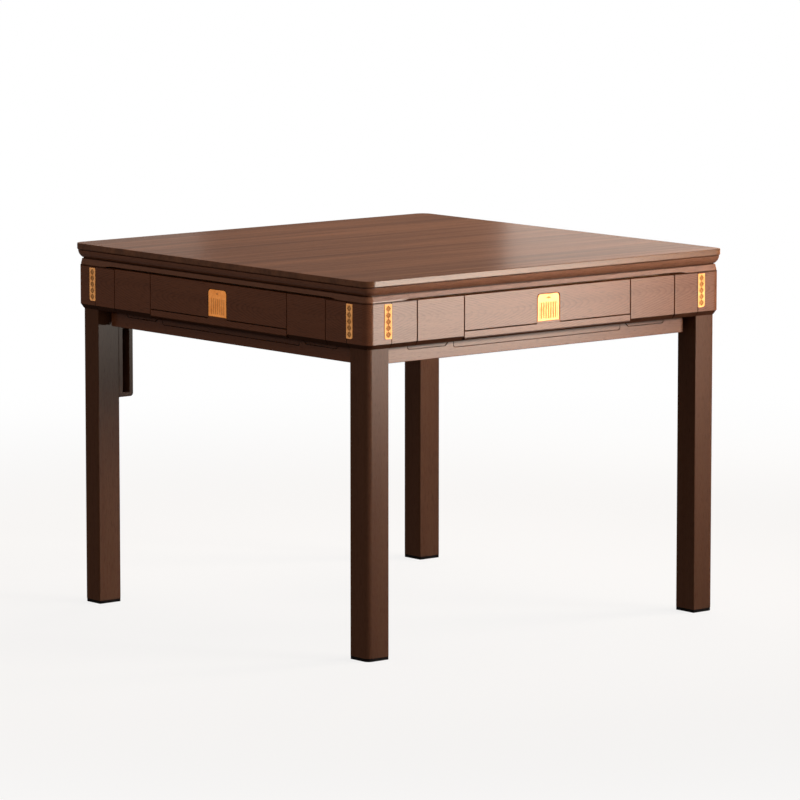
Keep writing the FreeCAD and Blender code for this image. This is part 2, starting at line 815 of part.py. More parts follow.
def main():
    """Builds every node."""
    os.makedirs("parts", exist_ok=True)
    save("cover_board", cover_board())
    save("cove_frame", cove_frame())
    save("locating_cleats", locating_cleats())
    save("rim_frame", rim_frame())
    save("bed_board", bed_board())
    save("playing_felt", playing_felt())
    save("corner_strips", corner_strips())
    save("bottom_panel", bottom_panel())
    save("divider_boards", divider_boards())
    save("apron_end_panels", apron_end_panels())
    save("drawer_runners", drawer_runners())
    save("side_pocket", side_pocket())
    save("frame_screws", frame_screws())
    save("corner_braces", Part.makeCompound([piece for _, piece in all_corners(corner_brace())]))
    save("leg_bolts", Part.makeCompound([piece for _, piece in all_corners(leg_bolt())]))
    save("foot_pads", Part.makeCompound([piece for _, piece in all_corners(foot_pad())]))
    for name, piece in all_corners(corner_block()):
        save("corner_block_" + name, piece)
    post = leg()
    for name, piece in all_corners(post):
        if name == "back_left":
            radius, length = screw_radius + screw_gap, screw_length + 1
            piece = piece.cut([pocket_hole(z, radius, length) for z in pocket_screw_levels()])
        save("leg_" + name, piece)
    for side, degrees in sides.items():
        save("lower_rail_" + side, turned(lower_rail(), degrees))
        save("drawer_front_" + side, turned(drawer_front(), degrees))
        save("drawer_box_" + side, turned(drawer_box(), degrees))
        save("pull_plate_" + side, turned(pull_plate(), degrees))
        save("slim_drawer_" + side, turned(slim_drawer(), degrees))
        for hand, sign in hands.items():
            front, case = small_front(), small_box()
            if sign < 0:
                front, case = mirrored_x(front), mirrored_x(case)
            save("small_front_" + side + "_" + hand, turned(front, degrees))
            save("small_box_" + side + "_" + hand, turned(case, degrees))


main()
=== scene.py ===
import math

import bmesh
import bpy
from mathutils import Matrix, Vector


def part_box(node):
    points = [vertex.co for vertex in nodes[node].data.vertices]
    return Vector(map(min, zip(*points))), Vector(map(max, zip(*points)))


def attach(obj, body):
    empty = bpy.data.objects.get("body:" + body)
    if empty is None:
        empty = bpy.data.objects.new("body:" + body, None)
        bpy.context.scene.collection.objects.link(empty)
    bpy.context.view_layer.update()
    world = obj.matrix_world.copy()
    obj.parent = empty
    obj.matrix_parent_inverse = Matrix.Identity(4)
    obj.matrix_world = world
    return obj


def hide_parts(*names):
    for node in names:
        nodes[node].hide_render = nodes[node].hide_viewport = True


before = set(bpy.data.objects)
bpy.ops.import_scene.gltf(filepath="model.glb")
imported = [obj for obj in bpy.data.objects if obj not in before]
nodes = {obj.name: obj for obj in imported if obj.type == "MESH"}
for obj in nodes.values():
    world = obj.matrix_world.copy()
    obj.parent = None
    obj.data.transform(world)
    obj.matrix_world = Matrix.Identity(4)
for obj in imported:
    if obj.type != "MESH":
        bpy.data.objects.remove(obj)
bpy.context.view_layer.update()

mm = 0.001
weldGap = 0.001 * mm
white = (1.0, 1.0, 1.0, 1.0)

# The four sides of the table and how far each is turned from the front, in degrees
sideTurns = {"front": 0, "right": 90, "back": 180, "left": 270}


def colour(red, green, blue):
    # screen colour, 0 to 255, as a linear RGBA value by the sRGB curve
    linear = []
    for part in (red, green, blue):
        share = part / 255
        linear.append(share / 12.92 if share <= 0.04045 else ((share + 0.055) / 1.055) ** 2.4)
    return (*linear, 1.0)


# Camera: where the table is seen from
cameraLook = {
    "aim": (-0.0479, -0.0667, 0.4509),
    "distance": 11.3,
    "turnDeg": 40.0,          # clockwise from +Y, seen from above
    "downDeg": 7.729,
    "lensMm": 242.6,
    "sensorMm": 36.0,
    "sightEnd": 100.0,        # metres
}


def addCamera(look):
    turn, down = math.radians(look["turnDeg"]), math.radians(look["downDeg"])
    ahead = Vector((math.sin(turn) * math.cos(down), math.cos(turn) * math.cos(down), -math.sin(down)))
    lens = bpy.data.cameras.new("tableCamera")
    lens.lens = look["lensMm"]
    lens.sensor_width = look["sensorMm"]
    lens.clip_end = look["sightEnd"]
    camera = bpy.data.objects.new("tableCamera", lens)
    camera.location = Vector(look["aim"]) - ahead * look["distance"]
    camera.rotation_euler = (math.pi / 2 - down, 0.0, -turn)
    bpy.context.scene.collection.objects.link(camera)
    bpy.context.scene.camera = camera


addCamera(cameraLook)


# Small helpers for building objects and shader nodes
def addObject(name, bm, material):
    # a mesh object from a finished shape
    mesh = bpy.data.meshes.new(name)
    bm.to_mesh(mesh)
    bm.free()
    mesh.materials.append(material)
    made = bpy.data.objects.new(name, mesh)
    bpy.context.scene.collection.objects.link(made)
    return made


def bareMaterial(name):
    material = bpy.data.materials.new(name)
    material.use_nodes = True
    material.node_tree.nodes.clear()
    return material, material.node_tree


def newMaterial(name):
    material, tree = bareMaterial(name)
    out = tree.nodes.new("ShaderNodeOutputMaterial")
    shader = tree.nodes.new("ShaderNodeBsdfPrincipled")
    tree.links.new(shader.outputs["BSDF"], out.inputs["Surface"])
    return material, tree, shader


def feed(tree, socket, value):
    # a number, a colour or another node's output
    if isinstance(value, bpy.types.NodeSocket):
        tree.links.new(value, socket)
    else:
        socket.default_value = value


def calc(tree, operation, first, second=0.0, third=0.0):
    node = tree.nodes.new("ShaderNodeMath")
    node.operation = operation
    for socket, value in zip(node.inputs, (first, second, third)):
        feed(tree, socket, value)
    return node.outputs[0]


def joinAxes(tree, x, y, z):
    node = tree.nodes.new("ShaderNodeCombineXYZ")
    for socket, value in zip(node.inputs, (x, y, z)):
        feed(tree, socket, value)
    return node.outputs[0]


# Kinds of noise: how many finer layers it has, and how strong each is beside the one before
plainNoise = (1.0, 0.5)
softNoise = (2.0, 0.5)
smudgeNoise = (3.0, 0.5)
richNoise = (3.0, 0.6)
speckNoise = (3.0, 0.65)


def noise(tree, vector, scale, kind=softNoise):
    node = tree.nodes.new("ShaderNodeTexNoise")
    tree.links.new(vector, node.inputs["Vector"])
    node.inputs["Scale"].default_value = scale
    node.inputs["Detail"].default_value, node.inputs["Roughness"].default_value = kind
    return node.outputs["Fac"]


def ramp(tree, value, stops):
    node = tree.nodes.new("ShaderNodeValToRGB")
    tree.links.new(value, node.inputs["Fac"])
    points = node.color_ramp.elements
    while len(points) < len(stops):
        points.new(0.5)
    for point, (place, shade) in zip(points, stops):
        point.position = place
        point.color = (shade, shade, shade, 1.0)
    return node.outputs["Color"]


def blendColours(tree, share, first, second):
    node = tree.nodes.new("ShaderNodeMix")
    node.data_type = "RGBA"
    feed(tree, node.inputs["Factor"], share)
    feed(tree, node.inputs["A"], first)
    feed(tree, node.inputs["B"], second)
    return node.outputs["Result"]


def glow(tree, kind, shade, strength):
    # a background or an emission shader
    node = tree.nodes.new(kind)
    node.inputs["Color"].default_value = shade
    node.inputs["Strength"].default_value = strength
    return node.outputs[0]


def mixShaders(tree, share, first, second):
    node = tree.nodes.new("ShaderNodeMixShader")
    tree.links.new(share, node.inputs["Fac"])
    tree.links.new(first, node.inputs[1])
    tree.links.new(second, node.inputs[2])
    return node.outputs[0]


def addBump(tree, shader, height, strength, distance):
    node = tree.nodes.new("ShaderNodeBump")
    node.inputs["Strength"].default_value = strength
    node.inputs["Distance"].default_value = distance
    tree.links.new(height, node.inputs["Height"])
    tree.links.new(node.outputs["Normal"], shader.inputs["Normal"])


# Studio: soft panels round the table, all out of the camera's sight
lampLooks = {
    "keyPanel": {"place": (1.75, -2.90, 1.32), "aim": (0.05, -0.45, 0.92), "size": (1.5, 0.8),
                 "watts": 10.5, "spreadDeg": 50.0, "tint": colour(255, 246, 238)},
    "sidePanel": {"place": (2.50, -1.15, 1.95), "aim": (0.30, 0.10, 0.66), "size": (0.9, 0.7),
                  "watts": 6.0, "spreadDeg": 60.0, "tint": colour(255, 240, 226)},
    "backPanel": {"place": (2.60, 1.80, 1.16), "aim": (0.3, -0.2, 0.77), "size": (1.1, 0.42),
                  "watts": 13.0, "tint": colour(255, 243, 232)},
    "topPanel": {"place": (0.9, 0.6, 3.2), "aim": (0.1, 0.0, 0.7), "size": (2.0, 2.0),
                 "watts": 16.0, "tint": colour(255, 243, 232)},
    # three cards that only the lacquer and the brass mirror
    "glossCard": {"place": (1.42, -2.76, 0.37), "aim": (-0.30, -0.48, 0.66), "size": (1.3, 0.42),
                  "watts": 145.0, "tint": colour(255, 244, 230), "glossOnly": True},
    "endCard": {"place": (2.35, -2.76, 0.40), "aim": (0.42, -0.48, 0.66), "size": (0.5, 0.42),
                "watts": 5.0, "tint": colour(255, 248, 238), "glossOnly": True},
    "farCard": {"place": (0.75, 3.00, 1.10), "aim": (-0.10, 0.20, 0.77), "size": (1.8, 0.30),
                "watts": 5.0, "tint": colour(255, 248, 238), "glossOnly": True},
}

studioLook = {
    "ambient": colour(255, 229, 205),
    "ambientStrength": 0.36,
    "floorRadius": 45.0,
    "floorSides": 64,
    "floorColour": colour(248, 247, 245),
    "floorBounce": colour(76, 73, 69),    # what the floor throws back on the table
    "shadowFrom": 1.2,        # the floor keeps shadows up to here, metres from the table's centre
    "shadowTo": 3.6,
    "shadowShare": 0.17,
}


def addLamp(name, look):
    lamp = bpy.data.lights.new(name, "AREA")
    lamp.shape = "RECTANGLE"
    lamp.size, lamp.size_y = look["size"]
    lamp.energy = look["watts"]
    lamp.color = look["tint"][:3]
    lamp.spread = math.radians(look.get("spreadDeg", 180.0))
    holder = bpy.data.objects.new(name, lamp)
    holder.location = look["place"]
    gaze = Vector(look["aim"]) - Vector(look["place"])
    holder.rotation_euler = gaze.to_track_quat("-Z", "Y").to_euler()
    holder.visible_camera = False
    holder.visible_diffuse = not look.get("glossOnly", False)
    bpy.context.scene.collection.objects.link(holder)


def seenDirectly(tree):
    # 1 for camera, glossy and transmission rays, 0 for the light that falls on things
    rays = tree.nodes.new("ShaderNodeLightPath").outputs
    either = calc(tree, "MAXIMUM", rays["Is Camera Ray"], rays["Is Glossy Ray"])
    return calc(tree, "MAXIMUM", either, rays["Is Transmission Ray"])


def addWorld(look):
    # soft light for the table, plain white behind it
    world = bpy.data.worlds.new("studioWorld")
    world.use_nodes = True
    tree = world.node_tree
    tree.nodes.clear()
    soft = glow(tree, "ShaderNodeBackground", look["ambient"], look["ambientStrength"])
    bright = glow(tree, "ShaderNodeBackground", white, 1.0)
    out = tree.nodes.new("ShaderNodeOutputWorld")
    tree.links.new(mixShaders(tree, seenDirectly(tree), soft, bright), out.inputs["Surface"])
    bpy.context.scene.world = world


def addFloor(look):
    # keeps a faint shadow near the table and fades to white further out
    bm = bmesh.new()
    bmesh.ops.create_circle(bm, cap_ends=True, radius=look["floorRadius"], segments=look["floorSides"])
    material, tree = bareMaterial("paleFloor")
    matt = tree.nodes.new("ShaderNodeBsdfDiffuse")
    tone = blendColours(tree, seenDirectly(tree), look["floorBounce"], look["floorColour"])
    tree.links.new(tone, matt.inputs["Color"])
    place = tree.nodes.new("ShaderNodeTexCoord")
    reach = tree.nodes.new("ShaderNodeVectorMath")
    reach.operation = "LENGTH"
    tree.links.new(place.outputs["Object"], reach.inputs[0])
    fade = tree.nodes.new("ShaderNodeMapRange")
    fade.interpolation_type = "SMOOTHSTEP"
    fade.inputs["From Min"].default_value = look["shadowFrom"]
    fade.inputs["From Max"].default_value = look["shadowTo"]
    fade.inputs["To Min"].default_value = 1.0 - look["shadowShare"]
    fade.inputs["To Max"].default_value = 1.0
    tree.links.new(reach.outputs["Value"], fade.inputs["Value"])
    share = calc(tree, "MULTIPLY", seenDirectly(tree), fade.outputs["Result"])
    bright = glow(tree, "ShaderNodeEmission", white, 1.0)
    out = tree.nodes.new("ShaderNodeOutputMaterial")
    tree.links.new(mixShaders(tree, share, matt.outputs[0], bright), out.inputs["Surface"])
    floor = addObject("studioFloor", bm, material)


for lampName, lampLook in lampLooks.items():
    addLamp(lampName, lampLook)
addWorld(studioLook)
addFloor(studioLook)
bpy.context.scene.view_settings.view_transform = "Standard"
print("studio: camera,", len(lampLooks), "lamps, world and floor")


# Walnut is cut from a log, so that faces, edges and ends agree
walnutLook = {
    "pale": colour(143, 94, 68),
    "mid": colour(126, 80, 56),
    "deep": colour(92, 53, 36),
    "pore": colour(52, 29, 19),
    "ringGap": 4.6 * mm,
    "ringWander": 0.9,         # in ring gaps
    "feather": 0.22,           # in ring gaps
    "taper": 0.26,             # how fast the log narrows along the board, which draws the chevrons
    "figure": 0.50,
    "streaks": 0.55,
    "fibres": 0.24,
    "pores": 0.40,
    # noise drawn out along the grain, as scales along it and across it
    "wanderScale": (5.0, 9.0),
    "featherScale": (60.0, 320.0),
    "figureScale": (7.0, 26.0),
    "streakScale": (1.3, 34.0),
    "fibreScale": (14.0, 520.0),
    "poreScale": (60.0, 1300.0),
    "smudgeScale": 5.0,
    "ringStops": [(0.0, 0.3), (0.12, 0.0), (0.55, 0.2), (0.86, 1.0), (1.0, 0.3)],
    "figureStops": [(0.36, 0.16), (0.60, 1.0)],
    "streakStops": [(0.32, 0.0), (0.68, 1.0)],
    "poreStops": [(0.58, 0.0), (0.68, 1.0)],
    "undercutShadeShare": 0.78,     # darkness of the painted shade on the undercut below the fronts
    "wearAndHighlight": 0.30,
    "wearAndHighlightWidth": 1.6 * mm,
    "wearAndHighlightStops": [(0.02, 0.0), (0.22, 1.0)],
    "wearAndHighlightSamples": 4,
    "roughness": 0.6,
    "smudges": 0.10,           # swing of the roughness
    "fibreRoughness": 0.08,
    "fibreHeight": 0.5,        # beside the depth of the pores
    "bump": 0.2,
    "bumpDepth": 0.12 * mm,
    "coat": 0.055,             # a thin open-pored lacquer
    "coatRoughness": 0.24,
    "coatIor": 2.0,
}

# What differs from one kind of board to the next
walnutKinds = {
    "top": {"ringGap": 11.0 * mm, "taper": 0.012, "figure": 0.22, "streaks": 0.95, "ringWander": 2.2,
            "coat": 0.070, "flatCoat": 0.099, "mid": colour(108, 72, 48), "pale": colour(143, 98, 68)},
    "panel": {},
    "moulding": {"figure": 0.16, "taper": 0.0,
                 "mid": colour(140, 94, 71), "pale": colour(154, 107, 84)},
    "rim": {"figure": 0.18, "taper": 0.0, "coat": 0.075,
            "mid": colour(136, 92, 68), "pale": colour(152, 106, 80)},
    "leg": {"figure": 0.14, "taper": 0.0, "coat": 0.022,
            "mid": colour(98, 69, 54), "pale": colour(111, 79, 62)},
    "rail": {"taper": 0.02, "figure": 0.20},
}

# Where the log's heart lies, in metres: across the board, and outward from the table's middle.
# Spread is how much its place varies from piece to piece
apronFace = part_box("drawer_front_right")[1].x
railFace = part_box("lower_rail_right")[1].x
frontLow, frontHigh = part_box("drawer_front_front")
frontMiddle = (frontLow.z + frontHigh.z) / 2
heartPlaces = {
    "panel": {"across": frontMiddle, "deep": apronFace - 0.009, "spread": 0.020},
    "rail": {"across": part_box("lower_rail_front")[0].z - 0.02, "deep": railFace - 0.09, "spread": 0.05},
    "moulding": {"across": 0.50, "deep": 0.20, "spread": 0.10},
    "rim": {"across": 0.50, "deep": 0.20, "spread": 0.10},
    "leg": {"across": -0.80, "deep": -0.60, "spread": 0.30},
    "top": {"across": 0.06, "deep": 0.55, "spread": 0.0},
}
boardShift = 0.31        # metres along the log that part one piece from another, at most
flatFacing = 0.7         # a face looks along an axis when its normal's share of it is above this


def placeAndFacing(tree):
    # where a point lies on the table at rest, and which way its face looks
    coords = tree.nodes.new("ShaderNodeTexCoord")
    place = tree.nodes.new("ShaderNodeSeparateXYZ")
    facing = tree.nodes.new("ShaderNodeSeparateXYZ")
    tree.links.new(coords.outputs["Object"], place.inputs[0])
    tree.links.new(coords.outputs["Normal"], facing.inputs[0])
    return place.outputs, facing.outputs


def farOut(tree, place):
    # distance from the table's middle, square to its sides
    return calc(tree, "MAXIMUM", calc(tree, "ABSOLUTE", place[0]), calc(tree, "ABSOLUTE", place[1]))


def grainAxes(tree, run, heart):
    # u goes along the grain, v across it and w into the board; "round" turns the grain at the table's corners
    x, y, z = placeAndFacing(tree)[0]
    own = tree.nodes.new("ShaderNodeObjectInfo").outputs["Random"]
    if run == "round":
        wide, far = calc(tree, "ABSOLUTE", x), calc(tree, "ABSOLUTE", y)
        sideways = calc(tree, "GREATER_THAN", wide, far)
        long = calc(tree, "MULTIPLY_ADD", sideways, calc(tree, "SUBTRACT", y, x), x)
        across, deep = z, calc(tree, "MAXIMUM", wide, far)
    else:
        long, across, deep = {"upright": (z, x, y), "level": (x, y, z)}[run]
    u = calc(tree, "MULTIPLY_ADD", own, boardShift, long)
    v = calc(tree, "MULTIPLY_ADD", own, heart["spread"], across)
    v = calc(tree, "SUBTRACT", v, heart["across"] + heart["spread"] / 2)
    return u, v, calc(tree, "SUBTRACT", deep, heart["deep"])


def stretched(tree, axes, scales, kind=softNoise):
    # noise drawn out along the grain
    u, v, w = axes
    along, across = scales
    place = joinAxes(tree, calc(tree, "MULTIPLY", u, along), calc(tree, "MULTIPLY", v, across),
                     calc(tree, "MULTIPLY", w, across))
    return noise(tree, place, 1.0, kind)


def walnutGrain(tree, axes, look):
    # colour, roughness and height of the wood
    u, v, w = axes
    reach = calc(tree, "SQRT", calc(tree, "MULTIPLY_ADD", v, v, calc(tree, "MULTIPLY", w, w)))
    rings = calc(tree, "DIVIDE", calc(tree, "MULTIPLY_ADD", u, look["taper"], reach), look["ringGap"])
    rings = calc(tree, "MULTIPLY_ADD", stretched(tree, axes, look["wanderScale"]), look["ringWander"], rings)
    rings = calc(tree, "MULTIPLY_ADD", stretched(tree, axes, look["featherScale"]), look["feather"], rings)
    ring = ramp(tree, calc(tree, "FRACT", rings), look["ringStops"])
    streak = ramp(tree, stretched(tree, axes, look["streakScale"], richNoise), look["streakStops"])
    fibre = stretched(tree, axes, look["fibreScale"], richNoise)
    pore = ramp(tree, stretched(tree, axes, look["poreScale"], plainNoise), look["poreStops"])
    figure = ramp(tree, stretched(tree, axes, look["figureScale"]), look["figureStops"])
    figure = calc(tree, "MULTIPLY", figure, look["figure"])

    base = blendColours(tree, calc(tree, "MULTIPLY", streak, look["streaks"]), look["mid"], look["pale"])
    base = blendColours(tree, calc(tree, "MULTIPLY", ring, figure), base, look["deep"])
    base = blendColours(tree, calc(tree, "MULTIPLY", fibre, look["fibres"]), base, look["deep"])
    base = blendColours(tree, calc(tree, "MULTIPLY", pore, look["pores"]), base, look["pore"])
    smudge = noise(tree, joinAxes(tree, u, v, w), look["smudgeScale"], smudgeNoise)
    rough = calc(tree, "MULTIPLY_ADD", smudge, look["smudges"], look["roughness"] - look["smudges"] / 2)
    rough = calc(tree, "MULTIPLY_ADD", fibre, look["fibreRoughness"], rough)
    height = calc(tree, "MULTIPLY_ADD", fibre, look["fibreHeight"], calc(tree, "MULTIPLY", pore, -1.0))
    return base, rough, height


def edgeShare(tree, look):
    # 1 on an edge, 0 on a flat face
    soft = tree.nodes.new("ShaderNodeBevel")
    soft.samples = look["wearAndHighlightSamples"]
    soft.inputs["Radius"].default_value = look["wearAndHighlightWidth"]
    plain = tree.nodes.new("ShaderNodeNewGeometry")
    match = tree.nodes.new("ShaderNodeVectorMath")
    match.operation = "DOT_PRODUCT"
    tree.links.new(soft.outputs["Normal"], match.inputs[0])
    tree.links.new(plain.outputs["Normal"], match.inputs[1])
    return ramp(tree, calc(tree, "SUBTRACT", 1.0, match.outputs["Value"]), look["wearAndHighlightStops"])


def lacquer(shader, look):
    shader.inputs["Specular IOR Level"].default_value = 0.0
    shader.inputs["Coat Weight"].default_value = look["coat"]
    shader.inputs["Coat Roughness"].default_value = look["coatRoughness"]
    shader.inputs["Coat IOR"].default_value = look["coatIor"]


# Painted shade: the lines where two pieces meet, partly dirt in the joints, the undercut of the fronts,
# the shadow of the body on the head of the rails, and the beds of the pull plates
apronLow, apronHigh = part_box("corner_block_front_left")
plateLow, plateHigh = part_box("pull_plate_front")
seamLook = {
    "cover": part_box("cover_board")[0].z,
    "rim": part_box("rim_frame")[1].z,
    "apron": apronHigh.z,
    "corner": abs(apronHigh.x),
    "width": 2.0 * mm,
    "jointWidth": 1.3 * mm,      # of the upright joints beside the corners
    "darkness": 0.84,
}
# painted shade on the undercut below the fronts and below the lip of the slim drawers
undercut = {"rise": 9.6 * mm, "lipRise": 6.5 * mm, "deep": 9.0 * mm}
# painted shadow of the body on the head of the rails
overhang = {"reach": 10.0 * mm, "darkness": 0.70}
# painted shade in the recessed beds behind the pull plates
pullBed = {"depth": 1.2 * mm, "floor": 5.0 * mm, "margin": 1.0 * mm, "darkness": 0.90}
solidShare = 0.45                # a painted shade is at its darkest up to this share of its reach


def shadeRamp(tree, share, darkness):
    return ramp(tree, share, [(solidShare, darkness), (1.0, 0.0)])


def seamShare(tree, place, level, width):
    # a fine dark line where two pieces meet: partly dirt in the joint, partly painted shade
    gap = calc(tree, "ABSOLUTE", calc(tree, "SUBTRACT", place, level))
    return shadeRamp(tree, calc(tree, "DIVIDE", gap, width), seamLook["darkness"])


def overhangShare(tree, z):
    # painted shadow of the body on the head of the rails
    drop = calc(tree, "DIVIDE", calc(tree, "SUBTRACT", apronLow.z, z), overhang["reach"])
    below = calc(tree, "GREATER_THAN", drop, 0.0)
    return calc(tree, "MULTIPLY", shadeRamp(tree, drop, overhang["darkness"]), below)


def between(tree, place, low, high):
    above = calc(tree, "GREATER_THAN", place, low)
    return calc(tree, "MULTIPLY", above, calc(tree, "LESS_THAN", place, high))


def apronShades(tree, x, y, z, rise, undercutShadeShare):
    # painted shade on the undercut, at the joints beside the corners and in the beds behind the pull plates
    wide, far = calc(tree, "ABSOLUTE", x), calc(tree, "ABSOLUTE", y)
    outward, sideways = calc(tree, "MAXIMUM", wide, far), calc(tree, "MINIMUM", wide, far)
    below = calc(tree, "LESS_THAN", z, apronLow.z + rise)
    below = calc(tree, "MULTIPLY", below, calc(tree, "GREATER_THAN", outward, apronFace - undercut["deep"]))
    bed = between(tree, z, plateLow.z - pullBed["margin"], plateHigh.z + pullBed["margin"])
    bed = calc(tree, "MULTIPLY", bed, calc(tree, "LESS_THAN", sideways, plateHigh.x + pullBed["margin"]))
    inBed = between(tree, outward, apronFace - pullBed["floor"], apronFace - pullBed["depth"])
    bed = calc(tree, "MULTIPLY", calc(tree, "MULTIPLY", bed, inBed), pullBed["darkness"])
    joint = seamShare(tree, sideways, seamLook["corner"], seamLook["jointWidth"])
    return [calc(tree, "MULTIPLY", below, undercutShadeShare), joint, bed]


def walnut(name, kind, run, seams=(), undercutRise=None, overhung=False, lined=False):
    look = {**walnutLook, **walnutKinds[kind]}
    material, tree, shader = newMaterial(name)
    base, rough, height = walnutGrain(tree, grainAxes(tree, run, heartPlaces[kind]), look)
    # edges painted paler: partly wear, partly a painted highlight where the eased edges catch light
    edge = calc(tree, "MULTIPLY", edgeShare(tree, look), look["wearAndHighlight"])
    base = blendColours(tree, edge, base, look["pale"])
    place, facing = placeAndFacing(tree)
    x, y, z = place
    upright = calc(tree, "LESS_THAN", calc(tree, "ABSOLUTE", facing[2]), flatFacing)
    # painted shade, partly dirt, along the seams, on upright faces only
    lines = [seamShare(tree, z, seamLook[level], seamLook["width"]) for level in seams]
    shades = [calc(tree, "MULTIPLY", upright, line) for line in lines]
    if overhung:
        shades.append(overhangShare(tree, z))
    if undercutRise:
        shades += apronShades(tree, x, y, z, undercutRise, look["undercutShadeShare"])
    lacquer(shader, look)
    coat = look["coat"]
    if "flatCoat" in look:
        upward = calc(tree, "GREATER_THAN", facing[2], flatFacing)
        coat = calc(tree, "MULTIPLY_ADD", upward, look["flatCoat"] - coat, coat)
    # each painted shade darkens the wood to the pore colour and takes its lacquer off
    for shade in shades:
        base = blendColours(tree, shade, base, look["pore"])
        coat = calc(tree, "MULTIPLY", calc(tree, "SUBTRACT", 1.0, shade), coat)
    if shades:
        tree.links.new(coat, shader.inputs["Coat Weight"])
    if lined:
        # behind its face the drawer is beech
        beech = {**timberLook, **timberKinds["beechBox"]}
        inner = calc(tree, "LESS_THAN", farOut(tree, place), beech["facedFrom"])
        base = blendColours(tree, inner, base, timberGrain(tree, beech, place, facing)[0])
    tree.links.new(base, shader.inputs["Base Color"])
    tree.links.new(rough, shader.inputs["Roughness"])
    addBump(tree, shader, height, look["bump"], look["bumpDepth"])
    return material


def dress(material, *names):
    for name in names:
        slots = nodes[name].data.materials
        slots.clear()
        slots.append(material)


def namesStarting(start):
    return [name for name in nodes if name.startswith(start)]


dress(walnut("walnutTop", "top", "level", ("cover",)), "cover_board")
dress(walnut("walnutMoulding", "moulding", "round", ("cover", "rim")), "cove_frame")
dress(walnut("walnutRim", "rim", "round", ("rim", "apron")), "rim_frame")
legNames = [name for name in namesStarting("leg_") if name != "leg_bolts"]
dress(walnut("walnutLeg", "leg", "upright"), "side_pocket", *legNames)
walnutPanel = walnut("walnutPanel", "panel", "round", ("apron",), undercutRise=undercut["rise"])
dress(walnutPanel, "apron_end_panels", *namesStarting("corner_block_"))
walnutFront = walnut("walnutFront", "panel", "round", undercutRise=undercut["rise"])
dress(walnutFront, *namesStarting("drawer_front_"), *namesStarting("small_front_"))
dress(walnut("walnutRail", "rail", "round", overhung=True), *namesStarting("lower_rail_"))
print("walnut: top, panels, mouldings, rails and legs")


# Pale timber: drawer boxes, runners and cleats in beech, boards in plywood
timberLook = {
    "ownShift": 5.1,             # metres along the grain that part one piece from another, at most
    "toneScale": (2.0, 60.0),
    "fleckScale": (90.0, 900.0),
    "toneStops": [(0.3, 0.0), (0.7, 1.0)],
    "fleckStops": [(0.62, 0.0), (0.72, 1.0)],
    "fleckShare": 0.5,
    "toneRoughness": 0.12,
    "bump": 0.12,
    "bumpDepth": 0.1 * mm,
    "plyShare": 0.7,             # darkness of every other ply, on faces that look sideways
    "plyFacing": 0.5,
}
timberKinds = {
    "beechBox": {"pale": colour(222, 186, 142), "deep": colour(190, 147, 101),
                 "fleck": colour(150, 104, 66), "roughness": 0.5, "facedFrom": railFace - 0.006},
    "beechRunner": {"pale": colour(212, 172, 126), "deep": colour(178, 133, 88),
                    "fleck": colour(140, 96, 60), "roughness": 0.45},
    "plywood": {"pale": colour(216, 183, 140), "deep": colour(188, 150, 106),
                "fleck": colour(158, 116, 76), "roughness": 0.6, "plyThickness": 1.5 * mm},
}


def timberGrain(tree, look, place, facing):
    # colour, broad tone and flecks; the grain lies level on every face
    x, y, z = place
    sideways = calc(tree, "GREATER_THAN", calc(tree, "ABSOLUTE", facing[0]), flatFacing)
    u = calc(tree, "MULTIPLY_ADD", sideways, calc(tree, "SUBTRACT", y, x), x)
    w = calc(tree, "SUBTRACT", calc(tree, "ADD", x, y), u)
    own = tree.nodes.new("ShaderNodeObjectInfo").outputs["Random"]
    axes = (calc(tree, "MULTIPLY_ADD", own, look["ownShift"], u), z, w)
    tone = ramp(tree, stretched(tree, axes, look["toneScale"], richNoise), look["toneStops"])
    fleck = ramp(tree, stretched(tree, axes, look["fleckScale"], plainNoise), look["fleckStops"])
    base = blendColours(tree, tone, look["pale"], look["deep"])
    if "plyThickness" in look:
        ply = look["plyThickness"]
        layer = calc(tree, "GREATER_THAN", calc(tree, "PINGPONG", z, ply), ply / 2)
        side = calc(tree, "LESS_THAN", calc(tree, "ABSOLUTE", facing[2]), look["plyFacing"])
        dark = calc(tree, "MULTIPLY", calc(tree, "MULTIPLY", layer, side), look["plyShare"])
        base = blendColours(tree, dark, base, look["fleck"])
    base = blendColours(tree, calc(tree, "MULTIPLY", fleck, look["fleckShare"]), base, look["fleck"])
    return base, tone, fleck


def timber(name):
    # a box that reaches out to the rails is faced with walnut there
    look = {**timberLook, **timberKinds[name]}
    material, tree, shader = newMaterial(name)
    place, facing = placeAndFacing(tree)
    base, tone, fleck = timberGrain(tree, look, place, facing)
    lacquer(shader, walnutLook)
    if "facedFrom" in look:
        faced = calc(tree, "GREATER_THAN", farOut(tree, place), look["facedFrom"])
        veneer = {**walnutLook, **walnutKinds["rail"]}
        grain = walnutGrain(tree, grainAxes(tree, "round", heartPlaces["rail"]), veneer)[0]
        # painted shadow of the body on the head of the faced boxes, with the lacquer taken off there
        shade = overhangShare(tree, place[2])
        grain = blendColours(tree, shade, grain, veneer["pore"])
        base = blendColours(tree, faced, base, grain)
        coatKept = calc(tree, "SUBTRACT", 1.0, calc(tree, "MULTIPLY", faced, shade))
        tree.links.new(calc(tree, "MULTIPLY", coatKept, walnutLook["coat"]), shader.inputs["Coat Weight"])
    tree.links.new(base, shader.inputs["Base Color"])
    rough = calc(tree, "MULTIPLY_ADD", tone, look["toneRoughness"], look["roughness"])
    tree.links.new(rough, shader.inputs["Roughness"])
    addBump(tree, shader, calc(tree, "SUBTRACT", tone, fleck), look["bump"], look["bumpDepth"])
    return material


dress(timber("beechBox"), *namesStarting("drawer_box_"), *namesStarting("small_box_"))
walnutLip = walnut("walnutLip", "panel", "round", undercutRise=undercut["lipRise"], overhung=True, lined=True)
dress(walnutLip, *namesStarting("slim_drawer_"))
dress(timber("beechRunner"), "drawer_runners", "locating_cleats")
dress(timber("plywood"), "bed_board", "bottom_panel", "divider_boards", "corner_braces")
print("timber: boxes, runners, cleats and boards")


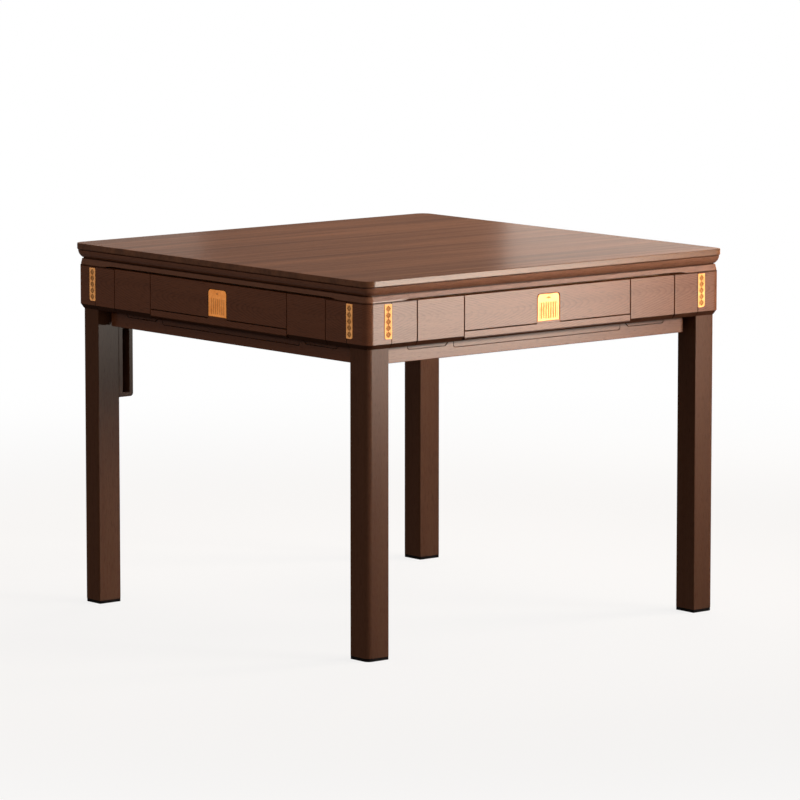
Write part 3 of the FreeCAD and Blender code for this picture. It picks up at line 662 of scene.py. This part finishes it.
# Felt, rubber and steel
speckleLook = {
    "metallic": 0.0,
    "sheen": 0.0,
    "gloss": 0.5,
    "bump": 0.2,
    "bumpDepth": 0.3 * mm,
    "cloudRatio": 40,            # clouds are this many times larger than the grain
    "cloudShare": 0.5,
    "grainShare": 0.6,
    "swing": 0.2,                # of the roughness
}
feltLook = {"pale": colour(42, 104, 74), "deep": colour(24, 72, 50), "scale": 1800.0,
            "roughness": 0.95, "sheen": 0.06, "bump": 0.6, "gloss": 0.0}
rubberLook = {"pale": colour(26, 24, 24), "deep": colour(12, 11, 11), "scale": 900.0,
              "roughness": 0.8, "gloss": 0.03}
steelLook = {"pale": colour(196, 198, 200), "deep": colour(150, 152, 154), "scale": 400.0,
             "roughness": 0.32, "metallic": 1.0, "bump": 0.05}


def speckled(name, own):
    look = {**speckleLook, **own}
    material, tree, shader = newMaterial(name)
    coords = tree.nodes.new("ShaderNodeTexCoord").outputs["Object"]
    grain = noise(tree, coords, look["scale"], speckNoise)
    cloud = noise(tree, coords, look["scale"] / look["cloudRatio"])
    share = calc(tree, "MULTIPLY", grain, look["grainShare"])
    share = calc(tree, "MULTIPLY_ADD", cloud, look["cloudShare"], share)
    tree.links.new(blendColours(tree, share, look["deep"], look["pale"]), shader.inputs["Base Color"])
    rough = calc(tree, "MULTIPLY_ADD", grain, look["swing"], look["roughness"] - look["swing"] / 2)
    tree.links.new(rough, shader.inputs["Roughness"])
    shader.inputs["Metallic"].default_value = look["metallic"]
    shader.inputs["Sheen Weight"].default_value = look["sheen"]
    shader.inputs["Specular IOR Level"].default_value = look["gloss"]
    addBump(tree, shader, grain, look["bump"], look["bumpDepth"])
    return material


dress(speckled("greenFelt", feltLook), "playing_felt")
dress(speckled("blackRubber", rubberLook), "foot_pads")
dress(speckled("zincSteel", steelLook), "frame_screws", "leg_bolts")
print("felt, rubber and steel")


# Brass: cast strips with a chain of lozenges, and pull plates with upright reeds
brassLook = {
    "bright": colour(230, 160, 82),
    "warm": colour(216, 142, 62),
    # the patina colour darkens the hollows, and also paints shade on the sides and the outline of the pull
    # plates
    "patinaAndShade": colour(70, 34, 10),
    "patinaShare": 0.90,
    "cloudScale": 55.0,
    "cloudStops": [(0.35, 0.0), (0.7, 1.0)],
    "grainScale": 1400.0,
    "roughness": 0.7875,
    "cloudRoughness": 0.125,
    "patinaRoughness": 0.15,
    "coat": 0.10,                # clear lacquer over the metal
    "coatRoughness": 0.24,
    "coatIor": 1.8,
    "bump": 0.12,
    "bumpDepth": 0.05 * mm,
    "sharpDeg": 32,              # edges that turn by more than this stay sharp
}

# What differs between the pulls and the strips
brassKinds = {
    "pull": {},
    "strip": {"coat": 0.03, "bright": colour(222, 169, 107), "warm": colour(208, 151, 88),
              "patinaAndShade": colour(90, 50, 22), "patinaShare": 0.52},
}


def brassMetal(kind):
    look = {**brassLook, **brassKinds[kind]}
    material, tree, shader = newMaterial(kind + "Brass")
    coords = tree.nodes.new("ShaderNodeTexCoord").outputs["Object"]
    cloud = noise(tree, coords, look["cloudScale"], richNoise)
    grain = noise(tree, coords, look["grainScale"], richNoise)
    # the attribute holds patina in the hollows and painted shade on the sides and the outline of the pull
    # plates
    depth = tree.nodes.new("ShaderNodeAttribute")
    depth.attribute_name = "patinaAndShade"
    patinaAndShade = depth.outputs["Fac"]
    base = blendColours(tree, ramp(tree, cloud, look["cloudStops"]), look["bright"], look["warm"])
    base = blendColours(tree, calc(tree, "MULTIPLY", patinaAndShade, look["patinaShare"]), base, look["patinaAndShade"])
    tree.links.new(base, shader.inputs["Base Color"])
    rough = calc(tree, "MULTIPLY_ADD", cloud, look["cloudRoughness"], look["roughness"])
    rough = calc(tree, "MULTIPLY_ADD", patinaAndShade, look["patinaRoughness"], rough)
    tree.links.new(rough, shader.inputs["Roughness"])
    shader.inputs["Metallic"].default_value = 1.0
    coatKept = calc(tree, "SUBTRACT", 1.0, patinaAndShade)
    tree.links.new(calc(tree, "MULTIPLY", coatKept, look["coat"]), shader.inputs["Coat Weight"])
    shader.inputs["Coat Roughness"].default_value = look["coatRoughness"]
    shader.inputs["Coat IOR"].default_value = look["coatIor"]
    addBump(tree, shader, grain, look["bump"], look["bumpDepth"])
    return material


def framePath(half, low, high, across, up):
    # points round an upright rectangle, anticlockwise from its lower inner corner
    rows = [low + (high - low) * i / up for i in range(up)]
    columns = [half * (2 * i / across - 1) for i in range(across)]
    path = [(a, low) for a in columns] + [(half, b) for b in rows]
    return path + [(-a, high) for a in columns] + [(-half, low + high - b) for b in rows]


def roundOff(point, half, edge, radius, upper):
    # pulls a point back to the arc of a rounded corner on the outer side
    a, b = point
    centre = Vector((half - radius, edge - radius if upper else edge + radius))
    away = Vector((a, b)) - centre
    beyond = away.y > 0 if upper else away.y < 0
    if radius <= 0 or away.x <= 0 or not beyond or away.length <= radius:
        return a, b
    return tuple(centre + away.normalized() * radius)


def addLoop(bm, layer, points, height, patinaAndShade):
    loop = []
    for a, b in points:
        vert = bm.verts.new((a, b, height))
        vert[layer] = patinaAndShade
        loop.append(vert)
    return loop


def joinLoops(bm, first, second):
    count = len(first)
    for i in range(count):
        j = (i + 1) % count
        bm.faces.new((first[i], first[j], second[j], second[i]))


def joinAll(bm, loops):
    for first, second in zip(loops, loops[1:]):
        joinLoops(bm, first, second)


def closeBody(bm, loops):
    # a closed body from its lowest loop to its highest
    bm.faces.new(list(reversed(loops[0])))
    joinAll(bm, loops)
    bm.faces.new(loops[-1])


def ringPath(radius, count, centre):
    spots = [2 * math.pi * i / count for i in range(count)]
    return [(centre[0] + radius * math.cos(t), centre[1] + radius * math.sin(t)) for t in spots]


def addBead(bm, layer, centre, base, look):
    # a closed bead that sits on the plate
    loops = []
    for share, up in look["beadProfile"]:
        path = ringPath(look["beadRadius"] * share, look["beadPoints"], centre)
        loops.append(addLoop(bm, layer, path, base + look["beadRise"] * up, 0.0))
    closeBody(bm, loops)


def lozengePath(halfWidth, halfHeight, middle, steps):
    # starts at the lower inner quarter, so that it lines up with a cell's rectangle
    tips = [(0.0, -halfHeight), (halfWidth, 0.0), (0.0, halfHeight), (-halfWidth, 0.0)]
    path = []
    for start, end in zip(tips, tips[1:] + tips[:1]):
        for i in range(steps):
            share = i / steps
            a = start[0] + (end[0] - start[0]) * share
            path.append((a, middle + start[1] + (end[1] - start[1]) * share))
    return path[-steps // 2:] + path[:-steps // 2]


# Strips
stripLow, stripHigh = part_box("corner_strips")
stripLook = {
    "width": 18.6 * mm,
    "setback": 54.6 * mm,        # from the apron's face round the corner to the strip's centre line
    "thickness": 2.6 * mm,
    "cornerRadius": 5.0 * mm,
    "border": 2.4 * mm,
    "borderRise": 0.35 * mm,
    "borderRun": 0.3 * mm,       # width over which the border rises
    "edge": 0.45 * mm,
    "edgeEase": 0.3,             # share of the edge that its first bevel takes
    "lozenges": 5,
    "land": 0.05 * mm,           # flat left round each lozenge
    "steps": 8,                  # points on one side of a lozenge
    "pitDepth": 1.2 * mm,
    "crownRise": 0.9 * mm,
    # share of the lozenge's size, share of the depth or of the rise, and patina
    "pitProfile": [(1.0, 0.0, 0.6), (0.99, 0.2, 1.0), (0.95, 0.95, 1.0), (0.90, 1.0, 1.0)],
    "crownProfile": [(0.50, 0.45, 0.95), (0.05, 1.0, 0.80)],
    "beadRadius": 0.8 * mm,
    "beadRise": 0.45 * mm,
    "beadPoints": 14,
    "beadProfile": [(1.0, -0.15), (1.0, 0.15), (0.86, 0.55), (0.55, 0.88), (0.2, 1.0)],
    "beadInset": 1.9,            # from the sides of the field, in bead radii
    "beadEndInset": 1.6,
}


def buildStrip(look):
    bm = bmesh.new()
    layer = bm.verts.layers.float.new("patinaAndShade")
    high = stripHigh.z - stripLow.z
    edge, border, face = look["edge"], look["border"], look["thickness"]
    inner = look["width"] / 2 - border
    low, top = border, high - border
    pitch = (top - low) / look["lozenges"]
    field = face - look["borderRise"]
    steps, land, pit = look["steps"], look["land"], look["pitDepth"]
    profile = [(share, field - pit * sink, patinaAndShade) for share, sink, patinaAndShade in look["pitProfile"]]
    for share, rise, patinaAndShade in look["crownProfile"]:
        profile.append((share, field - pit + look["crownRise"] * rise, patinaAndShade))
    for i in range(look["lozenges"]):
        middle = low + pitch * (i + 0.5)
        cell = framePath(inner, middle - pitch / 2, middle + pitch / 2, steps, steps)
        loops = [addLoop(bm, layer, cell, field, 0.0)]
        for share, height, patinaAndShade in profile:
            path = lozengePath((inner - land) * share, (pitch / 2 - land) * share, middle, steps)
            loops.append(addLoop(bm, layer, path, height, patinaAndShade))
        joinAll(bm, loops)
        bm.faces.new(loops[-1])
    bmesh.ops.remove_doubles(bm, verts=bm.verts[:], dist=weldGap)

    # the raised border and the sides, outward from the field
    across, up = steps, steps * look["lozenges"]
    ease = look["edgeEase"] * edge
    stages = [(0.0, field), (look["borderRun"], face), (border - edge, face),
              (border - ease, face - ease), (border, face - edge), (border, 0.0)]
    loops = []
    for out, height in stages:
        half = inner + out
        radius = look["cornerRadius"] - border + out
        path = framePath(half, low - out, top + out, across, up)
        path = [roundOff(point, half, low - out, radius, False) for point in path]
        loops.append(addLoop(bm, layer, path, height, 0.0))
    for first, second in zip(loops, loops[1:]):
        joinLoops(bm, second, first)
    bm.faces.new(loops[-1])
    bmesh.ops.remove_doubles(bm, verts=bm.verts[:], dist=weldGap)

    levels = [low + pitch * i for i in range(look["lozenges"] + 1)]
    levels[0] += look["beadEndInset"] * look["beadRadius"]
    levels[-1] -= look["beadEndInset"] * look["beadRadius"]
    beadOut = inner - look["beadInset"] * look["beadRadius"]
    for level in levels:
        for side in (-1, 1):
            addBead(bm, layer, (side * beadOut, level), field, look)
    return bm


# Pull plates
pullLook = {
    "thickness": 2.4 * mm,
    "sidePlay": 1.2 * mm,        # the bed shows dark beside the plate
    "topPlay": 0.5 * mm,
    "lift": 3.0 * mm,            # height of the wooden sill under the plate
    "cornerRadius": 8.0 * mm,
    "edge": 0.7 * mm,
    # painted shade: a dark outline along the sides and the top, and dark sides below darkFrom
    "edgeShade": 1.0,          # dark outline along the sides and the top
    "darkFrom": 0.72,            # share of the thickness below which the sides are dark
    "reeds": 8,
    "reedMargin": 4.0 * mm,
    "reedTopDrop": 17.5 * mm,
    "reedFoot": 4.0 * mm,
    "reedRise": 0.75 * mm,
    "reedFade": 1.6 * mm,        # length over which a groove runs out
    "reedShape": 0.8,            # powers that shape the groove and its tarnish
    "tarnishShape": 0.7,
    "grooveTarnish": 0.50,
    "reedSteps": 8,
    "rowSteps": 40,
    "rowsPast": 2.4 * mm,        # how far the close rows go on above the reeds
    # lines of the grid outside the reeds: at the foot, in the margins and at the top
    "footRow": 0.15 * mm,
    "footShare": 0.6,
    "marginStops": (0.0, 0.03, 0.10, 0.30, 0.55, 0.8),
    "topStops": (0.2, 0.4, 0.55, 0.68, 0.8, 0.88, 0.94, 0.97, 0.99, 1.0),
    "lozengeWidth": 18.0 * mm,
    "lozengeHeight": 7.0 * mm,
    "lozengeDrop": 8.6 * mm,
    "lozengeRise": 0.45 * mm,
    "lozengeSteps": 4,
    # share of the size, share of the rise, and patina
    "lozengeProfile": [(1.0, -0.2, 0.0), (1.0, 0.2, 0.0), (0.86, 1.0, 0.0), (0.62, 1.0, 0.0),
                       (0.52, 0.55, 0.4)],
}


def buildPull(look):
    # a grid of columns and rows, bent to the reeds and to the rounded upper corners
    bm = bmesh.new()
    layer = bm.verts.layers.float.new("patinaAndShade")
    half = (plateHigh.x - plateLow.x) / 2 - look["sidePlay"]
    high = plateHigh.z - plateLow.z - look["topPlay"] - look["lift"]
    face, edge, corner = look["thickness"], look["edge"], look["cornerRadius"]
    reedEnd = half - look["reedMargin"]
    pitch = 2 * reedEnd / look["reeds"]
    reedCount = look["reeds"] * look["reedSteps"]
    reedColumns = [-reedEnd + pitch * i / look["reedSteps"] for i in range(reedCount + 1)]
    margin = [half - look["reedMargin"] * share for share in look["marginStops"]]
    columns = [-a for a in margin] + reedColumns + margin[::-1]
    reedTop, reedLow = high - look["reedTopDrop"], look["reedFoot"]
    above = reedTop + look["rowsPast"]
    rows = [0.0, look["footRow"], edge, reedLow * look["footShare"]]
    rows += [reedLow + (above - reedLow) * i / look["rowSteps"] for i in range(look["rowSteps"] + 1)]
    rows += [above + (high - above) * share for share in look["topStops"]]

    def grooveAt(a, b):
        # depth between the reeds and how dark it is, both as shares
        if abs(a) >= reedEnd:
            return 0.0, 0.0
        across = ((a + reedEnd) / pitch) % 1.0 * 2 - 1
        arch = math.sqrt(max(0.0, 1 - across * across))
        fade = min(1.0, max(0.0, min(reedTop - b, b - reedLow) / look["reedFade"]))
        return (1 - arch ** look["reedShape"]) * fade, (1 - arch) ** look["tarnishShape"] * fade

    def roundTop(a, b):
        # both upper corners are round
        x, z = roundOff((abs(a), b), half, high, corner, True)
        return math.copysign(x, a), z

    def fallAt(a, b):
        # how far the worn edge drops at this point
        x, z = abs(a), b
        if x > half - corner and z > high - corner:
            inside = corner - Vector((x - half + corner, z - high + corner)).length
        else:
            inside = min(half - x, z, high - z)
        near = max(0.0, 1 - inside / edge)
        return edge * near * near

    grid = []
    for b in rows:
        line = []
        for a in columns:
            x, z = roundTop(a, b)
            sink, dark = grooveAt(a, b)
            fall = fallAt(x, z)
            rimDark = look["edgeShade"] * math.sqrt(fall / edge) if z > edge else 0.0
            vert = bm.verts.new((x, z, face - look["reedRise"] * sink - fall))
            vert[layer] = max(look["grooveTarnish"] * dark, rimDark)
            line.append(vert)
        grid.append(line)
    for i in range(len(rows) - 1):
        for j in range(len(columns) - 1):
            bm.faces.new((grid[i][j], grid[i][j + 1], grid[i + 1][j + 1], grid[i + 1][j]))

    # the sides of the plate, from its rim down, are painted dark as shade
    rim = grid[0][:-1] + [line[-1] for line in grid[:-1]]
    rim += grid[-1][:0:-1] + [line[0] for line in grid[:0:-1]]
    stages = [rim]
    for height in (face * look["darkFrom"], 0.0):
        stages.append(addLoop(bm, layer, [(vert.co.x, vert.co.y) for vert in rim], height, 1.0))
    for upper, lower in zip(stages, stages[1:]):
        joinLoops(bm, lower, upper)
    bm.faces.new(list(reversed(stages[-1])))
    bmesh.ops.remove_doubles(bm, verts=bm.verts[:], dist=weldGap)
    bmesh.ops.dissolve_degenerate(bm, edges=bm.edges[:], dist=weldGap)

    halfWidth, halfHeight = look["lozengeWidth"] / 2, look["lozengeHeight"] / 2
    middle = high - look["lozengeDrop"]
    loops = []
    for share, rise, patinaAndShade in look["lozengeProfile"]:
        path = lozengePath(halfWidth * share, halfHeight * share, middle, look["lozengeSteps"])
        loops.append(addLoop(bm, layer, path, face + look["lozengeRise"] * rise, patinaAndShade))
    closeBody(bm, loops)
    return bm


def turnToSide(bm, degrees):
    turn = Matrix.Rotation(math.radians(degrees), 3, "Z")
    bmesh.ops.rotate(bm, verts=bm.verts[:], cent=(0, 0, 0), matrix=turn)


def placeBrass(name, bm, metal, seat, degrees, mirrored, body, node):
    # from a plate lying flat, a sideways, b up and height outward, to its place on one side
    sideways = -1 if mirrored else 1
    for vert in bm.verts:
        a, b, out = vert.co
        vert.co = Vector((sideways * (seat["centre"] + a), -(seat["back"] + out), seat["low"] + b))
    turnToSide(bm, degrees)
    bmesh.ops.recalc_face_normals(bm, faces=bm.faces[:])
    for face in bm.faces:
        face.smooth = True
    piece = addObject(name, bm, metal)
    piece.data.set_sharp_from_angle(angle=math.radians(brassLook["sharpDeg"]))
    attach(piece, body)
    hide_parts(node)


# Wooden sill under each pull plate, which fills the foot of the bed and the gap above the lip
sillLook = {
    "below": 2.0 * mm,           # how far it reaches below the front
    "shoulder": 2.0 * mm,        # its foot reaches this much further out on each side
    "sideGap": 0.5 * mm,
    "topGap": 0.15 * mm,
    "depth": 3.0 * mm,
    "ease": 0.15 * mm,
    "easeSteps": 2,
    "easeShape": 0.5,            # an even round
}


def buildSill(look):
    bm = bmesh.new()
    half, high = plateHigh.x - look["sideGap"], pullLook["lift"] - look["topGap"]
    outline = [(half + look["shoulder"], -look["below"]), (half, -look["topGap"]), (half, high)]
    outline += [(-a, b) for a, b in reversed(outline)]
    face = bm.faces.new([bm.verts.new((a, -apronFace, plateLow.z + b)) for a, b in outline])
    made = bmesh.ops.extrude_face_region(bm, geom=[face])
    moved = [item for item in made["geom"] if isinstance(item, bmesh.types.BMVert)]
    bmesh.ops.translate(bm, verts=moved, vec=(0, look["depth"], 0))
    bmesh.ops.recalc_face_normals(bm, faces=bm.faces[:])
    bmesh.ops.bevel(bm, geom=bm.edges[:], offset=look["ease"], segments=look["easeSteps"],
                    profile=look["easeShape"], affect="EDGES")
    return bm


def placeSill(side, degrees):
    bm = buildSill(sillLook)
    turnToSide(bm, degrees)
    sill = addObject("pull_sill_" + side, bm, walnutFront)
    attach(sill, "centre_drawer_" + side)


for side, turn in sideTurns.items():
    placeSill(side, turn)
print("sills under the pull plates")


stripBrass, pullBrass = brassMetal("strip"), brassMetal("pull")
stripSeat = {
    "centre": apronFace - stripLook["setback"],
    "low": stripLow.z,
    "back": -stripLow.y - stripLook["thickness"],
}
pullSeat = {
    "centre": 0.0,
    "low": plateLow.z + pullLook["lift"],
    "back": -plateLow.y - pullLook["thickness"],
}
for side, turn in sideTurns.items():
    for half, mirrored in (("a", True), ("b", False)):
        placeBrass("strip_" + side + "_" + half, buildStrip(stripLook), stripBrass, stripSeat, turn, mirrored,
                   "table_frame", "corner_strips")
    placeBrass("pull_" + side, buildPull(pullLook), pullBrass, pullSeat, turn, False,
               "centre_drawer_" + side, "pull_plate_" + side)
print("brass: strips and pulls")
